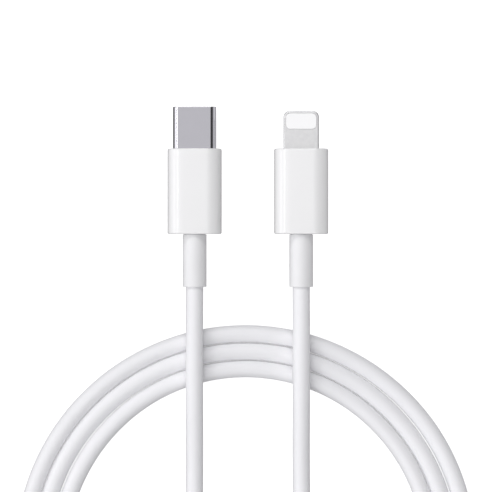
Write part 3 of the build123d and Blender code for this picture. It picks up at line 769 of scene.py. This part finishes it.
# ------------------------------------------------------------------------------------------------
# The cord
# ------------------------------------------------------------------------------------------------
@dataclass
class Cord:
    """The one cord from plug to plug, as a single smooth curve through a coil of three turns.

    The two leads' points are the route's own points, listed one by one, in millimetres. The coil's
    points between them are worked out turn by turn. Angles are in degrees from +X and count on
    through the turns.

    Attributes:
        diameter: the cord's diameter, in millimetres.
        plug_x: from the middle to each plug's axis, in millimetres.
        axis_height: height of the plugs' axes, in millimetres.
        jacket_end: place along Y of the jacket's end inside each strain relief, in millimetres.
        relief_end: place along Y where the cord leaves each strain relief, in millimetres.
        crossing_height: height of the cord's middle where it crosses over the coil, in millimetres.
        coil_centre: X and Y of the coil's middle, in millimetres.
        coil_inner_radius: radius of the innermost turn, in millimetres.
        coil_pitch: from one turn's middle to the next, in millimetres.
        coil_start: angle where the coil's points begin.
        coil_end: angle where they end.
        coil_spans: how many steps lie between the two.
        step_start: angle in the first turn where the cord begins to step out.
        step_end: angle in the first turn where it has stepped out by one pitch.
        gaps: for each hair gap the angle of its middle and its width in millimetres.
        gap_spread: degrees over which a gap closes.
        length: measured along the cord, in metres.
        curve: the cord's object.
    """

    diameter: float = 3.3
    plug_x: float = PLUG_X
    axis_height: float = 3.0
    jacket_end: float = -12.2
    relief_end: float = -17.2
    crossing_height: float = 5.12
    coil_centre: tuple[float, float] = (-0.46, -68.7)
    coil_inner_radius: float = 35.8
    coil_pitch: float = 3.36
    coil_start: float = -40.2
    coil_end: float = 916.7
    coil_spans: int = 64
    step_start: float = 240.0
    step_end: float = 290.0
    gaps: tuple[tuple[float, float], ...] = ((150.0, -0.16), (750.0, 0.16))
    gap_spread: float = 24.0
    length: float = 0.926
    curve: bpy.types.Object = field(init=False)

    def charger_lead(self) -> list[tuple[float, float, float]]:
        """Gives the points from the charger plug, over the coil and into its innermost turn."""
        x, low, high = self.plug_x, self.diameter / 2, self.crossing_height
        return [
            (-x, self.jacket_end, self.axis_height),
            (-x, -18.9, self.axis_height),
            (-x, -25.3, high),
            (-x, -36.5, high),
            (-x, -54.0, low),
            (-10.5, -74.5, low),
            (-10.2, -86.0, low),
            (-5.8, -94.5, low),
            (2.0, -100.1, low),
            (11.4, -101.4, low),
            (20.4, -98.2, low),
            (27.1, -92.0, low),
        ]

    def phone_lead(self) -> list[tuple[float, float, float]]:
        """Gives the points from the outermost turn, over the other turns and to the phone plug."""
        x, low, high = self.plug_x, self.diameter / 2, self.crossing_height
        return [
            (-41.6, -81.0, low),
            (-37.2, -91.2, low),
            (-30.2, -100.4, 2.9),
            (-19.4, -107.4, 5.0),
            (-7.6, -108.6, 5.3),
            (2.9, -103.6, 5.3),
            (9.4, -93.2, 4.6),
            (10.9, -76.0, low),
            (x, -56.0, low),
            (x, -36.8, high),
            (x, -25.5, high),
            (x, -18.9, self.axis_height),
            (x, self.jacket_end, self.axis_height),
        ]

    def turn_radius(self, angle: float) -> float:
        """Gives the coil's radius at an angle, which steps out one pitch at the end of each turn.

        Two turns also part from their neighbour by a hair: the innermost on the left and the
        outermost on the right.

        Args:
            angle: degrees from +X, counted on through the turns.

        Returns:
            The radius of the cord's middle, in millimetres.
        """
        radius = self.coil_inner_radius
        for turn in range(2):
            t = (angle - self.step_start - 360 * turn) / (self.step_end - self.step_start)
            t = min(max(t, 0.0), 1.0)
            radius += self.coil_pitch * t * t * (3 - 2 * t)
        for middle, gap in self.gaps:
            radius += gap * math.exp(-(((angle - middle) / self.gap_spread) ** 2))
        return radius

    def coil(self) -> list[tuple[float, float, float]]:
        """Gives the coil's points, a little outside its line, because the curve cuts their corners."""
        step = (self.coil_end - self.coil_start) / self.coil_spans
        # at its outermost a quadratic B-spline lies at (6 + 2 cos step) / 8 of its points' radius
        reach = 8 / (6 + 2 * math.cos(math.radians(step)))
        points = []
        for i in range(1, self.coil_spans):
            angle = self.coil_start + step * i
            radius = self.turn_radius(angle) * reach
            x = self.coil_centre[0] + radius * math.cos(math.radians(angle))
            y = self.coil_centre[1] + radius * math.sin(math.radians(angle))
            points.append((x, y, self.diameter / 2))
        return points

    def build(self, finish: bpy.types.Material) -> bpy.types.Object:
        """Args:
            finish: the jacket's material.

        Returns:
            The cord's curve object.
        """
        route = self.charger_lead() + self.coil() + self.phone_lead()
        data = bpy.data.curves.new("cord", "CURVE")
        data.dimensions = "3D"
        data.bevel_depth = self.diameter / 2 * MM
        data.bevel_resolution = 8
        data.resolution_u = 10
        data.use_fill_caps = True
        spline = data.splines.new("NURBS")
        spline.points.add(len(route) - 1)
        for point, place in zip(spline.points, route):
            point.co = (*[value * MM for value in place], 1.0)
        spline.order_u = 3
        spline.use_endpoint_u = True
        self.curve = bpy.data.objects.new("cord", data)
        bpy.context.scene.collection.objects.link(self.curve)
        data.materials.append(finish)
        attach(self.curve, BODY)
        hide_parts("cable_lead_charger", "cable_coil", "cable_lead_phone")
        return self.curve


# ------------------------------------------------------------------------------------------------
# The studio
# ------------------------------------------------------------------------------------------------
@dataclass
class Softbox:
    """A rectangular studio light that points at the object.

    Attributes:
        name: its name.
        tilt: degrees from straight overhead.
        heading: degrees round from +X, counted towards +Y.
        distance: metres from the object.
        size: width round the heading and height up the tilt, in metres.
        watts: its power.
    """

    name: str
    tilt: float
    heading: float
    distance: float
    size: tuple[float, float]
    watts: float

    def build(self, target: Vector) -> bpy.types.Object:
        """Makes the light.

        Args:
            target: the point that it faces.

        Returns:
            The light's object.
        """
        data = bpy.data.lights.new(self.name, "AREA")
        data.shape = "RECTANGLE"
        data.size, data.size_y = self.size
        data.energy = self.watts
        light = bpy.data.objects.new(self.name, data)
        tilt, heading = math.radians(self.tilt), math.radians(self.heading)
        away = Vector(
            (math.sin(tilt) * math.cos(heading), math.sin(tilt) * math.sin(heading), math.cos(tilt))
        )
        light.location = target + away * self.distance
        light.rotation_euler = (-away).to_track_quat("-Z", "Y").to_euler()
        bpy.context.scene.collection.objects.link(light)
        return light


@dataclass
class Studio:
    """The camera straight overhead, a pale floor and soft light from the left.

    Attributes:
        picture_width: width of the view at the focus height, in millimetres.
        centre: X and Y of the view's middle, in millimetres.
        focus_height: height of the plugs' axes, in millimetres.
        lens: the camera's focal length, in millimetres.
        sensor: the camera's sensor width, in millimetres.
        floor_side: the floor's side, in metres.
        floor_glow: the floor's own radiance.
        aim: the point that every softbox faces, in metres.
        above: the ceiling's radiance by the sine of the tilt to the right, from -1 to 1.
        below: the same for what lies under the horizon.
        horizon: sines of the rise between which one passes into the other.
        tint: share of red, green and blue in the surround's grey.
    """

    picture_width: float = 94.0
    centre: tuple[float, float] = (-0.36, -9.38)
    focus_height: float = 3.0
    lens: float = 200.0
    sensor: float = 36.0
    floor_side: float = 6.0
    floor_glow: float = 1.02
    aim: tuple[float, float, float] = (0.0, -0.02, 0.0)
    above: dict[float, float] = field(
        default_factory=lambda: {
            -1.0: 1.05, -0.65: 1.05, -0.5: 0.95, 0.0: 0.88, 0.16: 0.84, 0.24: 0.1, 0.78: 0.06,
            0.88: 0.65, 1.0: 0.7,
        }
    )
    below: dict[float, float] = field(
        default_factory=lambda: {
            -1.0: 0.6, -0.88: 0.35, -0.8: 0.05, -0.42: 0.05, -0.3: 0.25, 0.0: 0.45, 0.5: 0.3,
            0.75: 0.5, 1.0: 0.95,
        }
    )
    horizon: tuple[float, float] = (-0.05, 0.45)
    tint: tuple[float, float, float] = (0.995, 0.99, 1.01)

    def camera(self) -> bpy.types.Object:
        """Makes the camera: far off with a long lens, looking straight down."""
        data = bpy.data.cameras.new("camera")
        data.lens = self.lens
        data.sensor_width = self.sensor
        camera = bpy.data.objects.new("camera", data)
        distance = self.picture_width / self.sensor * self.lens
        camera.location = (
            self.centre[0] * MM,
            self.centre[1] * MM,
            (self.focus_height + distance) * MM,
        )
        bpy.context.scene.collection.objects.link(camera)
        bpy.context.scene.camera = camera
        return camera

    def floor(self) -> bpy.types.Object:
        """Makes the floor: a plain opal acrylic sheet lit from below, so that it stays free of shadows."""
        mesh = bpy.data.meshes.new("floor")
        shape = bmesh.new()
        bmesh.ops.create_grid(shape, x_segments=1, y_segments=1, size=self.floor_side / 2)
        shape.to_mesh(mesh)
        shape.free()
        sheet = bpy.data.objects.new("floor", mesh)
        bpy.context.scene.collection.objects.link(sheet)
        material = bpy.data.materials.new("opal acrylic sheet")
        material.use_nodes = True
        tree = material.node_tree
        tree.nodes.clear()
        opal, glow = srgb("969696"), srgb("FCFCFC")
        shader = add(
            tree,
            "ShaderNodeBsdfPrincipled",
            values={
                "Base Color": opal,
                "Roughness": 0.9,
                "Specular IOR Level": 0.0,
                "Emission Color": glow,
                "Emission Strength": self.floor_glow,
            },
        )
        add(tree, "ShaderNodeOutputMaterial", links={"Surface": shader.outputs["BSDF"]})
        mesh.materials.append(material)
        sheet.visible_diffuse = False
        sheet.visible_glossy = False
        return sheet

    def surround(self) -> None:
        """Makes the surround: a pale ceiling, darker walls, a dark flag right of the ceiling's middle
        and a dark patch low on the left."""
        world = bpy.data.worlds.new("studio walls")
        bpy.context.scene.world = world
        world.use_nodes = True
        tree = world.node_tree
        tree.nodes.clear()
        place = add(tree, "ShaderNodeTexCoord")
        parts = add(tree, "ShaderNodeSeparateXYZ", links={"Vector": place.outputs["Generated"]})
        across = add(
            tree,
            "ShaderNodeMapRange",
            values={"From Min": -1.0, "From Max": 1.0},
            links={"Value": parts.outputs["X"]},
        )
        above = self.ramp(tree, across.outputs["Result"], self.above)
        below = self.ramp(tree, across.outputs["Result"], self.below)
        rise = add(
            tree,
            "ShaderNodeMapRange",
            settings={"interpolation_type": "SMOOTHSTEP"},
            values={"From Min": self.horizon[0], "From Max": self.horizon[1]},
            links={"Value": parts.outputs["Z"]},
        )
        both = add(
            tree,
            "ShaderNodeMix",
            settings={"data_type": "RGBA"},
            links={0: rise.outputs["Result"], 6: below.outputs["Color"], 7: above.outputs["Color"]},
        )
        background = add(tree, "ShaderNodeBackground", links={"Color": both.outputs[2]})
        add(tree, "ShaderNodeOutputWorld", links={"Surface": background.outputs["Background"]})

    def ramp(
        self, tree: bpy.types.NodeTree, value: bpy.types.NodeSocket, stops: dict[float, float]
    ) -> bpy.types.Node:
        """Adds a ramp of grey levels from left to right.

        Args:
            tree: the world's node tree.
            value: the socket that runs from 0 on the left to 1 on the right.
            stops: radiance by the sine of the tilt to the right, from -1 to 1.

        Returns:
            The ramp's node.
        """
        node = add(tree, "ShaderNodeValToRGB", links={"Fac": value})
        node.color_ramp.interpolation = "EASE"
        elements = node.color_ramp.elements
        while len(elements) > 1:
            elements.remove(elements[-1])
        for i, (x, level) in enumerate(stops.items()):
            stop = elements[0] if i == 0 else elements.new((x + 1) / 2)
            stop.position = (x + 1) / 2
            stop.color = (*[level * share for share in self.tint], 1.0)
        return node

    def lights(self) -> None:
        """Makes the softboxes: two strips on the left, and a broad one in front and one behind."""
        target = Vector(self.aim)
        for box in (
            Softbox("upper left softbox", tilt=40, heading=180, distance=1.2, size=(0.6, 0.07), watts=1.2),
            Softbox("lower left softbox", tilt=70, heading=180, distance=1.2, size=(0.6, 0.25), watts=0.8),
            Softbox("front softbox", tilt=50, heading=90, distance=1.2, size=(1.0, 0.3), watts=4.4),
            Softbox("rear softbox", tilt=50, heading=-90, distance=1.2, size=(1.0, 0.3), watts=2.6),
        ):
            box.build(target)

    def build(self) -> None:
        """Makes the whole studio."""
        self.camera()
        self.floor()
        self.surround()
        self.lights()
        bpy.context.scene.view_settings.view_transform = "Standard"


# ------------------------------------------------------------------------------------------------
# Dressing and order
# ------------------------------------------------------------------------------------------------
def dress(
    nodes: dict[str, bpy.types.Object], slots: dict[str, str], made: dict[str, bpy.types.Material]
) -> None:
    """Gives every CAD node the material of its slot.

    Args:
        nodes: the CAD nodes by name.
        slots: each node's material slot.
        made: the materials by slot.
    """
    for name, node in nodes.items():
        node.data.materials.clear()
        node.data.materials.append(made[slots[name]])


def main() -> None:
    """Builds the whole scene in order."""
    logging.basicConfig(level=logging.INFO, format="%(message)s")
    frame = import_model()
    Studio().build()
    made = {slot: finish.build() for slot, finish in FINISHES.items()}
    slots = {part["node"]: part["material_slot"] for part in frame["record"]["subparts"]}
    dress(frame["nodes"], slots, made)
    Cord().build(made["jacket_white"])
    shell = Shell()
    Plug("charger", -PLUG_X, shell.outside, shell).build(made)
    Plug("phone", PLUG_X, Section(6.7, 1.5)).build(made)
    LOG.info("cord made, %d nodes dressed", len(frame["nodes"]))


if __name__ == "__main__":
    main()
